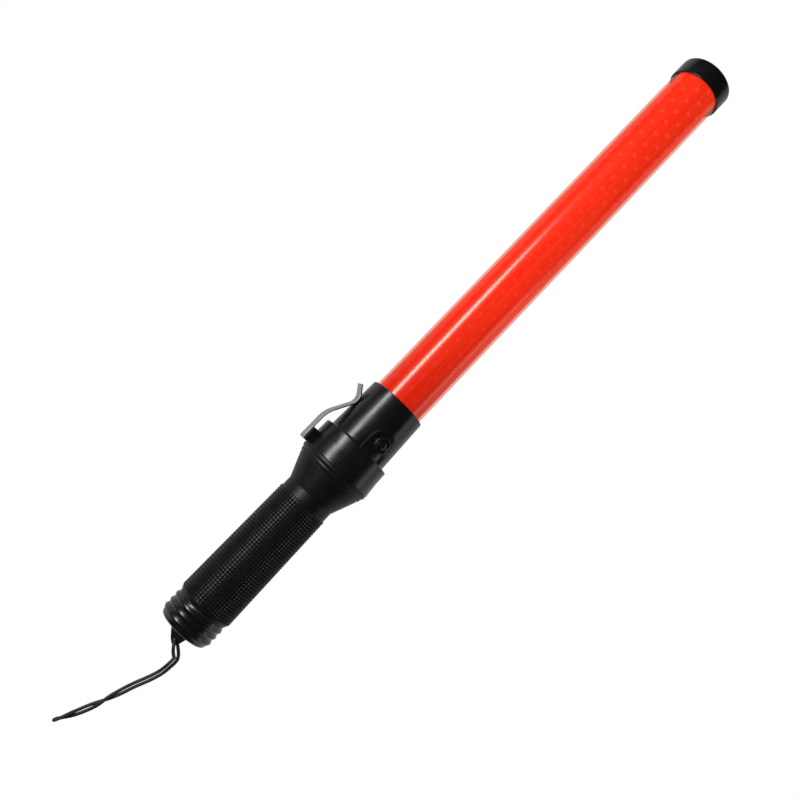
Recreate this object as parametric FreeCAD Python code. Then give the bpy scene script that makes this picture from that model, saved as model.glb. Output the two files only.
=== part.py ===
import FreeCAD, Part
import math
import os
from FreeCAD import Vector

# Traffic baton light, lying on its side. Millimetres.
# Every piece is drawn along the baton's axis: x runs towards the tip and is 0 just behind the
# butt's end face, y is towards the belt clip's side and z is up, both from the axis. save() then
# moves each piece into the frame: origin at the middle of the underside, +X towards the tip.

X = Vector(1, 0, 0)
Y = Vector(0, 1, 0)
Z = Vector(0, 0, 1)
AXIS_START = Vector(0, 0, 0)

# Lengths along the axis, from the lanyard's lug to the tip
LUG_END = -9.0
BUTT_FACE = 1.5
BUTT_RIM = 20.6
HANDLE_END = 21.1
GRIP_START = 24.8
NECK_START = 115.0
CONE_START = 122.3
COLLAR_BACK = 146.2
COLLAR_WAIST = 157.4
COLLAR_FRONT = 167.0
SLEEVE_FRONT = 208.0
CAP_BACK = 526.0
TIP_END = 541.0

# Outer radii
RING_GROOVE_R = 18.75
RING_CREST_R = 20.0
GRIP_BACK_R = 20.6
GRIP_FRONT_R = 19.4
NECK_R = 18.6
RIM_R = 28.2
COLLAR_R = 27.1
COLLAR_FRONT_R = 26.9
SLEEVE_BACK_R = 23.1
SLEEVE_FRONT_R = 21.85
TUBE_R = 19.5
TUBE_WALL = 1.6
CAP_R = 20.85

# Clearance on the radius: between fixed pieces, and between pieces that turn or slide
SNUG = 0.05
LOOSE = 0.08

# Butt cap: three pointed rings, the plain land ahead of them, a spigot in place of the thread
# and a cavity for the spring
RING_COUNT = 3
RING_PITCH = 4.9
RING_LAND = 1.05
RING_START = BUTT_RIM - RING_LAND - RING_COUNT * RING_PITCH
THREAD_R = 18.3
THREAD_BORE_R = THREAD_R + LOOSE
THREAD_END = 35.0
THREAD_BORE_END = 36.5
CAP_CAVITY_R = 17.0
CAP_FLOOR = 4.0
LUG_THICK = 5.4
LUG_HOLE_R = 1.5

# Two D cells in line, with the contacts at their ends
CELL_R = 16.8
CELL_LENGTH = 61.5
CELL_NUB_R = 4.75
CELL_NUB = 1.6
CELL_START = 12.9
BORE_R = 17.4
BORE_END = 136.9
CONTACT_START = 136.0
CONTACT_R = 12.0
BULKHEAD_END = 140.0
SPRING_WIRE_R = 0.65
SPRING_WIDE = 13.5
SPRING_NARROW = 7.0
SPRING_TURNS = 3

# Fits between handle, collar and sleeve
RIDGE_COUNT = 2
RIDGE_PITCH = 3.1
RIDGE_START = COLLAR_BACK - 0.4 - RIDGE_COUNT * RIDGE_PITCH
RIDGE_BACK_R = 25.4
RIDGE_CLIMB = 1.2
RIDGE_HEIGHT = 0.55
CONE_END_R = 25.6
SPIGOT_R = 21.0
COLLAR_BORE_R = SPIGOT_R + LOOSE
HANDLE_SPIGOT_END = 156.8
SLEEVE_SPIGOT_START = 157.2
FRONT_BORE_R = 18.4
SLEEVE_BORE_R = 19.65

# O-rings, each in a groove a little wider than its section
SEAL_R = 0.58
GROOVE_HALF = 1.0
COLLAR_SEAL_X = 151.0
TUBE_SEAL_X = 202.0

# Turn of the clip and of the button about the axis, from straight up; minus is the +Y side
CLIP_TURN = -74.0
BUTTON_TURN = 29.0

# Belt clip, its block and screws; heights are from the axis, before the turn
CLIP_WIDTH = 11.0
CLIP_THICK = 1.1
CLIP_SEAT = 32.2
CLIP_TOP = CLIP_SEAT + CLIP_THICK
CLIP_START = 146.7
CLIP_FLEX_X = 157.0
CLIP_GAP = 0.25
CLIP_BEND_X = 169.5
CLIP_LOW_X = 190.0
CLIP_DROP = 1.6
CLIP_LIP_X = 199.4
CLIP_LIP_RISE = 7.1
BLOCK_START = 146.5
BLOCK_END = 156.5
BLOCK_WIDTH = 18.5
SCREW_X = 151.5
SCREW_SPREAD = 3.2
SCREW_R = 1.2
SCREW_HEAD_R = 2.3
SCREW_HEAD = 0.9
SCREW_END = 23.2

# Switch, from the button's crown down to the circuit board; heights as for the clip
BUTTON_X = 178.0
PAD_R = 10.3
PAD_TOP_R = 24.1
BEZEL_R = 6.1
BEZEL_BORE_R = 4.2
BEZEL_SEAT = 21.0
BEZEL_TOP = 25.2
BUTTON_R = 4.0
BUTTON_TOP = 25.5
BUTTON_CROWN = 1.1
BUTTON_FLANGE_R = 4.55
BUTTON_FLANGE_TOP = 20.8
BUTTON_FLANGE_BOTTOM = 19.5
BUTTON_NUB_R = 1.6
BUTTON_NUB_BOTTOM = 17.45
BUTTON_WELL_R = 4.8
PLUNGER_R = 1.8
PLUNGER_TOP = 17.4
SWITCH_HALF = 4.0
SWITCH_TOP = 16.0
PLUNGER_BOTTOM = SWITCH_TOP - 1.8
BOARD_TOP = 11.6
BOARD_THICK = 1.6
BOARD_START = 163.0
BOARD_END = 184.6
BOARD_HALF = 10.0
WIRE_D = 1.3
WIRE_SPREAD = 4.0

# Lamp: board, LEDs, holder, tube, liner and reflector
LED_BOARD_BACK = 186.4
LED_BOARD_FRONT = 188.0
LED_CIRCLE_R = 9.5
LED_FLANGE_R = 2.9
LED_R = 2.45
LED_DOME_X = 193.5
HOLDER_BACK = 189.2
HOLDER_FLOOR = 191.2
HOLDER_FRONT = 195.8
TUBE_MOUTH = 196.0
TUBE_END = TIP_END - 5.4
LINER_R = TUBE_R - TUBE_WALL - 0.1
LINER_THICK = 0.8
LINER_END = 529.0
REFLECTOR_BACK = 530.0
REFLECTOR_FRONT = 531.5

# Lanyard: a thin cord, doubled. Points from just behind the butt, the axis and the table top.
CORD_D = 2.4
CORD_ROUTE = [
    (-6.0, -1.7, 28.5), (-6.0, -1.7, 32.4), (-7.8, -3.2, 35.0), (-11.0, -5.8, 34.2),
    (-13.6, -8.0, 30.0), (-15.6, -9.0, 24.0), (-17.4, -9.2, 17.4), (-21.2, -9.5, 10.0),
    (-27.0, -9.3, 4.5), (-33.5, -8.6, 1.7), (-41.4, -5.9, 1.3), (-52.2, -0.9, 1.3),
    (-62.6, 2.8, 1.4), (-68.6, 4.8, 4.1), (-75.0, 5.5, 4.1), (-80.7, 7.0, 1.6),
    (-88.7, 10.6, 1.3), (-93.6, 13.4, 1.3), (-98.2, 16.9, 1.3), (-102.2, 20.2, 1.4),
    (-102.4, 20.3, 6.6), (-97.0, 17.6, 6.3), (-92.4, 15.6, 3.7), (-87.4, 13.0, 1.5),
    (-79.5, 9.4, 1.3), (-71.4, 4.5, 1.3), (-63.6, 0.4, 1.3), (-53.2, -3.3, 1.3),
    (-42.4, -8.3, 1.3), (-34.1, -11.1, 1.4), (-27.2, -11.8, 3.6), (-21.6, -12.1, 8.4),
    (-17.2, -11.6, 13.6), (-13.4, -9.4, 17.8), (-9.6, -5.6, 20.8), (-6.0, -1.7, 24.0),
    (-6.0, -1.7, 27.9),
]

# The frame's origin in the baton's own coordinates: the middle of the underside
CLIP_SIDE = math.radians(-CLIP_TURN)
CLIP_REACH_Y = CLIP_TOP * math.sin(CLIP_SIDE) + CLIP_WIDTH / 2 * math.cos(CLIP_SIDE)
ORIGIN = Vector((TIP_END + LUG_END) / 2, (CLIP_REACH_Y - RIM_R) / 2, -RIM_R)


def save(name, *solids):
    """Writes one node, moved from the baton's axis into the frame."""
    shape = solids[0] if len(solids) == 1 else Part.makeCompound(list(solids))
    shape = shape.translated(ORIGIN * -1)
    for number, solid in enumerate(shape.Solids):
        if not solid.isValid() or solid.Volume <= 0:
            raise ValueError("%s solid %d is not a valid solid" % (name, number))
    shape.exportStep("parts/%s.step" % name)


# Plain shapes


def rod(x0, x1, r):
    """A cylinder along the axis."""
    return Part.makeCylinder(r, x1 - x0, Vector(x0, 0, 0), X)


def ring(x0, x1, outer_r, inner_r):
    """A plain tube along the axis."""
    return rod(x0, x1, outer_r).cut(rod(x0 - 1, x1 + 1, inner_r))


def post(x, y, z0, z1, r):
    """An upright cylinder."""
    return Part.makeCylinder(r, z1 - z0, Vector(x, y, z0), Z)


def block(x0, x1, half_width, z0, z1):
    """A box, as far to one side of the axis as to the other."""
    return Part.makeBox(x1 - x0, 2 * half_width, z1 - z0, Vector(x0, -half_width, z0))


def o_ring(x, middle_r, section_r):
    """A round ring about the axis."""
    return Part.makeTorus(middle_r, section_r, Vector(x, 0, 0), X)


def around(shape, angle):
    """Turns a shape that was drawn straight up about the baton's axis."""
    return shape.rotated(AXIS_START, X, angle)


# Outlines in the x-z plane, and what is turned from them


def line(a, b):
    return Part.LineSegment(Vector(a[0], 0, a[1]), Vector(b[0], 0, b[1])).toShape()


def arc(a, middle, b):
    return Part.Arc(Vector(a[0], 0, a[1]), Vector(middle[0], 0, middle[1]), Vector(b[0], 0, b[1])).toShape()


def chain(points):
    """The edges of an open outline."""
    return [line(a, b) for a, b in zip(points, points[1:])]


def pointed_rings():
    """The profile of the butt's rings: straight flanks with a narrow rounded crest."""
    flank = 0.42 * RING_PITCH
    shoulder_r = RING_CREST_R - 0.12
    edges = []
    for number in range(RING_COUNT):
        x = RING_START + number * RING_PITCH
        left = (x + flank, shoulder_r)
        right = (x + RING_PITCH - flank, shoulder_r)
        edges.append(line((x, RING_GROOVE_R), left))
        edges.append(arc(left, (x + RING_PITCH / 2, RING_CREST_R), right))
        edges.append(line(right, (x + RING_PITCH, RING_GROOVE_R)))
    return edges


def rim_ridges():
    """The profile of the two low ridges, each further out than the one behind it."""
    edges = []
    for number in range(RIDGE_COUNT):
        x = RIDGE_START + number * RIDGE_PITCH
        r = RIDGE_BACK_R + number * RIDGE_CLIMB
        crest = (x + RIDGE_PITCH / 2, r + RIDGE_CLIMB / 2 + RIDGE_HEIGHT)
        edges.append(arc((x, r), crest, (x + RIDGE_PITCH, r + RIDGE_CLIMB)))
    return edges


def turned(edges):
    """A solid of revolution about the baton's axis, from the edges of a closed outline."""
    face = Part.Face(Part.Wire(Part.__sortEdges__(edges)))
    return face.revolve(AXIS_START, X, 360)


def turned_corners(corners):
    """A solid of revolution about the baton's axis, from (x, r) corners."""
    return turned(chain(corners + corners[:1]))


def turned_upright(edges):
    """A solid of revolution about an upright line through the button, from (r, z) edges."""
    face = Part.Face(Part.Wire(Part.__sortEdges__(edges)))
    return face.revolve(AXIS_START, Z, 360).translated(X * BUTTON_X)


# Paths of straight runs joined by tangent arcs


def rounded_path(points, share=0.45):
    """The path's wire, and the radius of each arc, which takes up that share of the shorter run."""
    edges = []
    radii = []
    start = points[0]
    for before, corner, after in zip(points, points[1:], points[2:]):
        run_in = corner - before
        run_out = after - corner
        reach = share * min(run_in.Length, run_out.Length)
        half_turn = run_in.getAngle(run_out) / 2
        radius = reach / math.tan(half_turn)
        ahead_in = run_in.normalize()
        ahead_out = run_out.normalize()
        arc_start = corner - ahead_in * reach
        arc_end = corner + ahead_out * reach
        inward = (ahead_out - ahead_in).normalize()
        arc_middle = corner + inward * (radius / math.cos(half_turn) - radius)
        edges.append(Part.LineSegment(start, arc_start).toShape())
        edges.append(Part.Arc(arc_start, arc_middle, arc_end).toShape())
        radii.append(radius)
        start = arc_end
    edges.append(Part.LineSegment(start, points[-1]).toShape())
    return Part.Wire(edges), radii


def round_tube(points, diameter):
    """A round tube along the rounded path through these points."""
    path = rounded_path(points)[0]
    disc = Part.Wire(Part.makeCircle(diameter / 2, points[0], points[1] - points[0]))
    return path.makePipeShell([disc], True, True)


# Butt cap and batteries


def butt_cap():
    """Rounded end, three pointed rings, threaded spigot and the lanyard's lug."""
    end_r = 15.2
    bevel = 0.8
    rings_end = RING_START + RING_COUNT * RING_PITCH
    outline = [arc((BUTT_FACE, end_r), (BUTT_FACE + 1.1, 17.7), (RING_START, RING_GROOVE_R))]
    outline += pointed_rings()
    spigot = [(rings_end, RING_GROOVE_R), (BUTT_RIM, RING_GROOVE_R), (BUTT_RIM, THREAD_R)]
    spigot += [(THREAD_END - bevel, THREAD_R), (THREAD_END, THREAD_R - bevel)]
    cavity = [(THREAD_END, CAP_CAVITY_R), (CAP_FLOOR, CAP_CAVITY_R), (CAP_FLOOR, 0)]
    cavity += [(BUTT_FACE, 0), (BUTT_FACE, end_r)]
    cap = turned(outline + chain(spigot + cavity))
    return cap.fuse(lug()).removeSplitter()


def lug():
    """A tapered tab on the butt, a little off the middle, with an upright hole for the cord."""
    root = BUTT_FACE + 0.9
    corners = [(root, 9.6), (-6.4, 1.9), (-8.2, 0.3), (LUG_END, -1.4), (-8.6, -3.2)]
    corners += [(-7.2, -4.6), (root, -7.6)]
    points = [Vector(x, y, -LUG_THICK / 2) for x, y in corners]
    tab = Part.Face(Part.makePolygon(points + points[:1])).extrude(Z * LUG_THICK)
    flat_edges = [e for e in tab.Edges if abs(abs(e.CenterOfMass.z) - LUG_THICK / 2) < 0.01]
    tab = tab.makeChamfer(0.6, [e for e in flat_edges if e.CenterOfMass.x < 0.5])
    x, y = CORD_ROUTE[0][:2]
    return tab.cut(post(x, y, -LUG_THICK, LUG_THICK, LUG_HOLE_R))


def battery_spring():
    """A conical spring between the cap's floor and the rear cell, at its fitted length."""
    steps = 10 * SPRING_TURNS
    base = CAP_FLOOR + SPRING_WIRE_R + 0.1
    length = CELL_START - CAP_FLOOR - 2 * (SPRING_WIRE_R + 0.1)
    points = []
    for step in range(steps + 1):
        share = step / steps
        angle = 2 * math.pi * SPRING_TURNS * share
        r = SPRING_WIDE + (SPRING_NARROW - SPRING_WIDE) * share
        points.append(Vector(base + length * share, r * math.cos(angle), r * math.sin(angle)))
    return round_tube(points, 2 * SPRING_WIRE_R)


def cell(start):
    """One D cell, its terminal towards the tip."""
    bevel = 0.8
    crimp = 1.3
    end = start + CELL_LENGTH
    shoulder = end - CELL_NUB
    can = [(start, 0), (start, CELL_R - bevel), (start + bevel, CELL_R), (shoulder - crimp, CELL_R)]
    top = [(shoulder, CELL_R - crimp), (shoulder, CELL_NUB_R), (end, CELL_NUB_R), (end, 0)]
    return turned_corners(can + top)


def contact_strip():
    """A thin brass strip along the top of the bore."""
    shell = ring(THREAD_BORE_END + 0.2, BORE_END - 0.1, BORE_R - SNUG, BORE_R - 0.4)
    return shell.common(block(0, BORE_END, 3.0, 0, RIM_R))


# Handle and collar


def handle_grip():
    """Grip, neck, flared cone with two low ridges, and the spigot inside the collar."""
    shoulder = COLLAR_BACK - 0.1
    ridges_end = RIDGE_START + RIDGE_COUNT * RIDGE_PITCH
    ridges_end_r = RIDGE_BACK_R + RIDGE_COUNT * RIDGE_CLIMB
    grip = [(HANDLE_END, THREAD_BORE_R), (HANDLE_END, RING_GROOVE_R + 0.3), (GRIP_START, GRIP_BACK_R)]
    neck = [(NECK_START - 0.6, GRIP_FRONT_R), (NECK_START, NECK_R), (CONE_START - 0.8, NECK_R)]
    cone = [(CONE_START, NECK_R + 0.2), (RIDGE_START - 0.3, CONE_END_R), (RIDGE_START, RIDGE_BACK_R)]
    spigot = [(ridges_end, ridges_end_r), (shoulder, ridges_end_r), (shoulder, SPIGOT_R)]
    spigot += [(HANDLE_SPIGOT_END, SPIGOT_R), (HANDLE_SPIGOT_END, FRONT_BORE_R)]
    bore = [(BORE_END, FRONT_BORE_R), (BORE_END, BORE_R), (THREAD_BORE_END, BORE_R)]
    bore += [(THREAD_BORE_END, THREAD_BORE_R), (HANDLE_END, THREAD_BORE_R)]
    outline = chain(grip + neck + cone)
    outline += rim_ridges()
    outline += chain(spigot + bore)
    groove = ring(COLLAR_SEAL_X - GROOVE_HALF, COLLAR_SEAL_X + GROOVE_HALF, SPIGOT_R + 1, SPIGOT_R - 1.2)
    return turned(outline).cut(groove)


def collar_ring(grown=0.0):
    """The large ring, widest at its back edge; grown on the radius for what has to clear it."""
    bevel = 0.6
    back_r = RIM_R + grown
    front_r = COLLAR_FRONT_R + grown
    profile = [(COLLAR_BACK, COLLAR_BORE_R), (COLLAR_BACK, back_r - bevel), (COLLAR_BACK + bevel, back_r)]
    profile += [(COLLAR_WAIST, COLLAR_R + grown), (COLLAR_FRONT - bevel, front_r)]
    profile += [(COLLAR_FRONT, front_r - bevel), (COLLAR_FRONT, COLLAR_BORE_R)]
    return turned_corners(profile)


def head_collar():
    """The large ring, with pilot holes for the clip's screws."""
    collar = collar_ring()
    for y in screw_places():
        collar = collar.cut(around(post(SCREW_X, y, SCREW_END - 0.6, CLIP_SEAT, SCREW_R + 0.02), CLIP_TURN))
    return collar


# Belt clip


def screw_places():
    """How far to each side the clip's two screws stand."""
    return (-SCREW_SPREAD, SCREW_SPREAD)


def screw_hole(y):
    """A clearance hole for one screw's shank, through block and strip."""
    return post(SCREW_X, y, COLLAR_R - 5, CLIP_TOP + 5, SCREW_R + SNUG)


def clip_block():
    """The block between collar and clip, hollowed to sit on the collar."""
    body = block(BLOCK_START, BLOCK_END, BLOCK_WIDTH / 2, COLLAR_R - 2.7, CLIP_SEAT)
    uprights = [e for e in body.Edges if e.Length < CLIP_SEAT - COLLAR_R + 3]
    body = body.makeFillet(1.2, uprights)
    body = body.cut(collar_ring(0.03))
    for y in screw_places():
        body = body.cut(screw_hole(y))
    return around(body, CLIP_TURN)


def clip_root():
    """The end of the clip's strip that is clamped on the block."""
    strip = block(CLIP_START, CLIP_FLEX_X, CLIP_WIDTH / 2, CLIP_SEAT, CLIP_TOP)
    end_edges = [e for e in strip.Edges if abs(e.CenterOfMass.x - CLIP_START) < 0.01]
    strip = strip.makeFillet(1.5, [e for e in end_edges if e.Length < CLIP_THICK + 0.01])
    for y in screw_places():
        seat = Vector(SCREW_X, y, CLIP_TOP - SCREW_HEAD)
        sink = Part.makeCone(SCREW_R, SCREW_HEAD_R + 0.1, SCREW_HEAD, seat, Z)
        strip = strip.cut(screw_hole(y)).cut(sink)
    return around(strip, CLIP_TURN)


def belt_clip():
    """The free blade: straight, bent down to the sleeve, with a lip curled up."""
    start = CLIP_FLEX_X + CLIP_GAP
    half = CLIP_WIDTH / 2
    middle = CLIP_SEAT + CLIP_THICK / 2
    low = SLEEVE_BACK_R - CLIP_DROP
    bends = [(start, middle), (CLIP_BEND_X, middle), (CLIP_LOW_X, low), (CLIP_LIP_X, low + CLIP_LIP_RISE)]
    path = rounded_path([Vector(x, 0, z) for x, z in bends])[0]
    corners = [Vector(start, -half, CLIP_SEAT), Vector(start, half, CLIP_SEAT)]
    corners += [Vector(start, half, CLIP_TOP), Vector(start, -half, CLIP_TOP)]
    section = Part.makePolygon(corners + corners[:1])
    return around(path.makePipeShell([section], True, True), CLIP_TURN)


def clip_screws():
    """Two countersunk screws through strip and block into the collar."""
    screws = []
    head_base = CLIP_TOP - SCREW_HEAD
    for y in screw_places():
        shank = post(SCREW_X, y, SCREW_END, head_base, SCREW_R)
        head = Part.makeCone(SCREW_R, SCREW_HEAD_R, SCREW_HEAD - SNUG, Vector(SCREW_X, y, head_base), Z)
        slot = block(SCREW_X - 3, SCREW_X + 3, 0.3, CLIP_TOP - 0.5, CLIP_TOP + 1).translated(Y * y)
        screws.append(around(shank.fuse(head).cut(slot), CLIP_TURN))
    return screws


# Head sleeve and switch


def head_sleeve():
    """The sleeve round the tube's foot, with the arched pad and the switch's well."""
    bevel = 0.4
    foot = 1.1
    above = PAD_TOP_R + 5
    profile = [(SLEEVE_SPIGOT_START, SLEEVE_BORE_R), (SLEEVE_SPIGOT_START, SPIGOT_R)]
    profile += [(COLLAR_FRONT, SPIGOT_R), (COLLAR_FRONT, SLEEVE_BACK_R + foot)]
    profile += [(COLLAR_FRONT + foot, SLEEVE_BACK_R)]
    profile += [(SLEEVE_FRONT - bevel, SLEEVE_FRONT_R), (SLEEVE_FRONT, SLEEVE_FRONT_R - bevel)]
    profile += [(SLEEVE_FRONT, SLEEVE_BORE_R)]
    arch = post(BUTTON_X, 0, SLEEVE_BORE_R - 2, above, PAD_R)
    legs = block(COLLAR_FRONT + SNUG, BUTTON_X, PAD_R, SLEEVE_BORE_R - 2, above)
    pad = arch.fuse(legs).common(ring(COLLAR_FRONT, SLEEVE_FRONT, PAD_TOP_R, SLEEVE_BORE_R))
    sleeve = turned_corners(profile).fuse(around(pad, BUTTON_TURN)).removeSplitter()
    well = post(BUTTON_X, 0, SWITCH_TOP - 4, above, BUTTON_WELL_R)
    seat = post(BUTTON_X, 0, BEZEL_SEAT, above, BEZEL_R + 0.03)
    sleeve = sleeve.cut(around(well.fuse(seat), BUTTON_TURN))
    half = GROOVE_HALF - 0.1
    return sleeve.cut(ring(TUBE_SEAL_X - half, TUBE_SEAL_X + half, SLEEVE_BORE_R + 1.1, SLEEVE_BORE_R - 1))


def switch_bezel():
    """The round rim of the button, with a bevelled top."""
    outside = [(BEZEL_BORE_R, BEZEL_SEAT), (BEZEL_R, BEZEL_SEAT), (BEZEL_R, BEZEL_TOP - 0.8)]
    top = [(BEZEL_R - 0.6, BEZEL_TOP), (BEZEL_BORE_R + 0.5, BEZEL_TOP), (BEZEL_BORE_R, BEZEL_TOP - 0.6)]
    return around(turned_upright(chain(outside + top + outside[:1])), BUTTON_TURN)


def switch_button():
    """A domed button with a retaining flange and a short nub that pushes the plunger."""
    sphere_r = (BUTTON_R ** 2 + BUTTON_CROWN ** 2) / (2 * BUTTON_CROWN)
    sphere = Part.makeSphere(sphere_r, Vector(BUTTON_X, 0, BUTTON_TOP - sphere_r))
    dome = post(BUTTON_X, 0, BUTTON_FLANGE_TOP, BUTTON_TOP + 1, BUTTON_R).common(sphere)
    flange = post(BUTTON_X, 0, BUTTON_FLANGE_BOTTOM, BUTTON_FLANGE_TOP, BUTTON_FLANGE_R)
    nub = post(BUTTON_X, 0, BUTTON_NUB_BOTTOM, BUTTON_FLANGE_BOTTOM, BUTTON_NUB_R)
    return around(dome.fuse(flange).fuse(nub), BUTTON_TURN)


def switch_body():
    """The switch under the button, with a blind hole for its plunger."""
    body = block(BUTTON_X - SWITCH_HALF, BUTTON_X + SWITCH_HALF, SWITCH_HALF, BOARD_TOP, SWITCH_TOP)
    hole = post(BUTTON_X, 0, BOARD_TOP + 1.2, SWITCH_TOP + 1, PLUNGER_R + LOOSE)
    return around(body.cut(hole), BUTTON_TURN)


def switch_plunger():
    """The plunger that the button's nub rests on."""
    return around(post(BUTTON_X, 0, PLUNGER_BOTTOM, PLUNGER_TOP, PLUNGER_R), BUTTON_TURN)


def driver_board():
    """The circuit board that carries the switch."""
    return around(block(BOARD_START, BOARD_END, BOARD_HALF, BOARD_TOP - BOARD_THICK, BOARD_TOP), BUTTON_TURN)


def board_parts():
    """Capacitor, coil and chip on the inner side of the board."""
    under = BOARD_TOP - BOARD_THICK
    capacitor = post(168.0, -4.5, under - 7, under, 3.15)
    coil = post(177.0, -4.0, under - 4, under, 3.6)
    chip = block(169.0, 175.0, 2.5, under - 1.7, under).translated(Y * 5)
    return [around(shape, BUTTON_TURN) for shape in (capacitor, coil, chip)]


def lead_wires():
    """The two wires from the battery's front end to the driver board."""
    edge = BOARD_TOP - BOARD_THICK / 2
    start = BULKHEAD_END + 0.02
    end = BOARD_START - 0.02
    wires = []
    for y in (-WIRE_SPREAD, WIRE_SPREAD):
        places = [(start, y, 0), (146.5, y, 0), (151.5, y, 3.4), (156.5, y, edge), (end, y, edge)]
        wires.append(around(round_tube([Vector(*place) for place in places], WIRE_D), BUTTON_TURN))
    return wires


# Lamp


def led_places():
    """The LEDs' centres across the tube: one in the middle and four round it."""
    places = [(0.0, 0.0)]
    for quarter in range(4):
        angle = math.radians(45 + 90 * quarter)
        places.append((LED_CIRCLE_R * math.cos(angle), LED_CIRCLE_R * math.sin(angle)))
    return places


def leds():
    """Five domed LEDs on the round board."""
    lamps = []
    for y, z in led_places():
        flange = Part.makeCylinder(LED_FLANGE_R, 1.0, Vector(LED_BOARD_FRONT, y, z), X)
        stem = Part.makeCylinder(LED_R, LED_DOME_X - LED_BOARD_FRONT, Vector(LED_BOARD_FRONT, y, z), X)
        dome = Part.makeSphere(LED_R, Vector(LED_DOME_X, y, z))
        lamps.append(flange.fuse(stem).fuse(dome).removeSplitter())
    return lamps


def led_holder():
    """A white dish that holds the LEDs at the foot of the tube."""
    rim_r = SLEEVE_BORE_R - 0.15
    corners = [(HOLDER_BACK, 0), (HOLDER_BACK, rim_r), (HOLDER_FRONT, rim_r), (HOLDER_FRONT, rim_r - 0.9)]
    corners += [(HOLDER_FLOOR, 15.5), (HOLDER_FLOOR, 0)]
    dish = turned_corners(corners)
    for y, z in led_places():
        dish = dish.cut(Part.makeCylinder(LED_FLANGE_R + SNUG, 10, Vector(LED_BOARD_FRONT, y, z), X))
    return dish


def tip_cap():
    """A cup over the tube's end, its outer edge rounded."""
    floor = 5.2
    cap = rod(CAP_BACK, TIP_END, CAP_R).cut(rod(CAP_BACK - 1, TIP_END - floor, TUBE_R + LOOSE))
    outer = [e for e in cap.Edges if abs(e.CenterOfMass.x - TIP_END) < 0.01]
    cap = cap.makeFillet(1.8, outer)
    mouth = [e for e in cap.Edges if abs(e.CenterOfMass.x - CAP_BACK) < 0.01]
    return cap.makeFillet(0.4, [e for e in mouth if e.Length > 2 * math.pi * (CAP_R - 1)])


# Lanyard


def lanyard_cord():
    """The lanyard's closed loop of thin cord, as a tube, with a check of its shape."""
    points = [Vector(*point) - Z * RIM_R for point in CORD_ROUTE]
    path, radii = rounded_path(points)
    cord = round_tube(points, CORD_D)
    section = math.pi * CORD_D ** 2 / 4
    print("lanyard length %.1f, tightest radius %.2f" % (path.Length, min(radii)))
    print("lanyard radii", " ".join("%.1f" % radius for radius in radii))
    print("lanyard volume %.1f against section times length %.1f" % (cord.Volume, section * path.Length))
    return cord


os.makedirs("parts", exist_ok=True)
save("butt_cap", butt_cap())
save("butt_seal", ring(BUTT_RIM + 0.03, HANDLE_END - SNUG, RING_GROOVE_R, THREAD_R + SNUG))
save("battery_spring", battery_spring())
save("battery_rear", cell(CELL_START))
save("battery_front", cell(CELL_START + CELL_LENGTH))
save("contact_front", rod(CONTACT_START, BORE_END, CONTACT_R))
save("contact_strip", contact_strip())
save("bulkhead", rod(BORE_END + SNUG, BULKHEAD_END, FRONT_BORE_R - LOOSE))
save("handle_grip", handle_grip())
save("collar_seal", o_ring(COLLAR_SEAL_X, SPIGOT_R - 0.52, SEAL_R))
save("head_collar", head_collar())
save("clip_block", clip_block())
save("clip_root", clip_root())
save("belt_clip", belt_clip())
save("clip_screws", *clip_screws())
save("head_sleeve", head_sleeve())
save("switch_bezel", switch_bezel())
save("switch_button", switch_button())
save("switch_plunger", switch_plunger())
save("switch_body", switch_body())
save("driver_board", driver_board())
save("board_parts", *board_parts())
save("lead_wires", *lead_wires())
save("led_board", rod(LED_BOARD_BACK, LED_BOARD_FRONT, SLEEVE_BORE_R - 0.15))
save("leds", *leds())
save("led_holder", led_holder())
save("tube_seal", o_ring(TUBE_SEAL_X, TUBE_R + 0.62, SEAL_R))
save("light_tube", ring(TUBE_MOUTH, TUBE_END, TUBE_R, TUBE_R - TUBE_WALL))
save("prism_liner", ring(TUBE_MOUTH + 1, LINER_END, LINER_R, LINER_R - LINER_THICK))
save("tip_reflector", rod(REFLECTOR_BACK, REFLECTOR_FRONT, LINER_R))
save("tip_cap", tip_cap())
save("lanyard_cord", lanyard_cord())
print("origin in baton coordinates", ORIGIN)
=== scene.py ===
import math

import bmesh
import bpy
from mathutils import Matrix, Vector


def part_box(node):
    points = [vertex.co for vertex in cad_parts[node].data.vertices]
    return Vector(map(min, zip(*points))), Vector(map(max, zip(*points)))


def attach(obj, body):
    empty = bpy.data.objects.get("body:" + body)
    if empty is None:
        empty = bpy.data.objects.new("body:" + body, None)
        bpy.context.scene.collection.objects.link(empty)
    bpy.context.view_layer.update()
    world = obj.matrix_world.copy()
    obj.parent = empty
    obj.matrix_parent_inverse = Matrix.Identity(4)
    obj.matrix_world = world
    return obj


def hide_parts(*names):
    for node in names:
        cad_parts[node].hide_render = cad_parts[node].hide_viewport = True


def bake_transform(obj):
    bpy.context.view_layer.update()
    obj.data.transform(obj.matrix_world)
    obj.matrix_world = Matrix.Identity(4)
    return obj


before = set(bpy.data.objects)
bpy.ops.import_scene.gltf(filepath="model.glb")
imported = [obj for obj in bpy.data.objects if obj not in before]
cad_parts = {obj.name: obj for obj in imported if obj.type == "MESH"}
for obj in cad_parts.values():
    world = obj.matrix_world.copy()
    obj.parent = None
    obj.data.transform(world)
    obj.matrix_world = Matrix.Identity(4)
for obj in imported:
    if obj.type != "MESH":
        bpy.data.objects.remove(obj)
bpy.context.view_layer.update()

# A traffic baton light lying on a white table, seen from above. Lengths named here are in
# millimetres: x towards the tip from just behind the butt, y to the belt clip's side, z up, both
# from the baton's axis. at() turns them into the frame's metres.

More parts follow.
